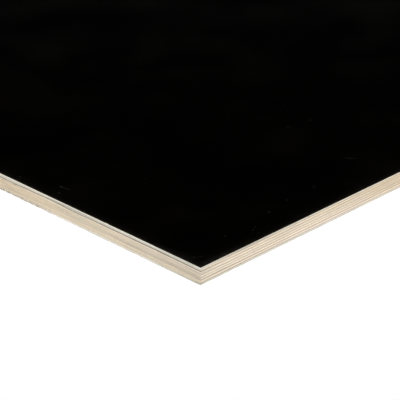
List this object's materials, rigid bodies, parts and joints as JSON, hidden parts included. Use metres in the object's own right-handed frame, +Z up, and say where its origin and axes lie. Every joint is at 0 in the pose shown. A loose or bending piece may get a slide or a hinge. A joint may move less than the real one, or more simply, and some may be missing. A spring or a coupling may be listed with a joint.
{
  "type": "plywood sheet",
  "caption": "Flat rectangular sheet of cross-banded birch veneers with a dark resin film on both faces and raw sawn edges, for formwork, floors and shelving.",
  "frame": {"origin": "middle of the underside, where the sheet rests on a level floor", "axes": "+X along the sheet's length, which is also the grain of the outer plies, +Y along its width, +Z up through its thickness"},
  "size_m": [2.44, 1.22, 0.018],
  "materials": {
    "phenolic_film": "satin",
    "birch_long_grain": "matte",
    "birch_cross_grain": "matte"
  },
  "bodies": {
    "root": {"film_top": "phenolic_film", "ply_01_face": "birch_long_grain", "ply_02_crossband": "birch_cross_grain", "ply_03_core": "birch_long_grain", "ply_04_crossband": "birch_cross_grain", "ply_05_core": "birch_long_grain", "ply_06_crossband": "birch_cross_grain", "ply_07_core": "birch_long_grain", "ply_08_crossband": "birch_cross_grain", "ply_09_core": "birch_long_grain", "ply_10_crossband": "birch_cross_grain", "ply_11_core": "birch_long_grain", "ply_12_crossband": "birch_cross_grain", "ply_13_back": "birch_long_grain", "film_bottom": "phenolic_film"}
  },
  "joints": []
}
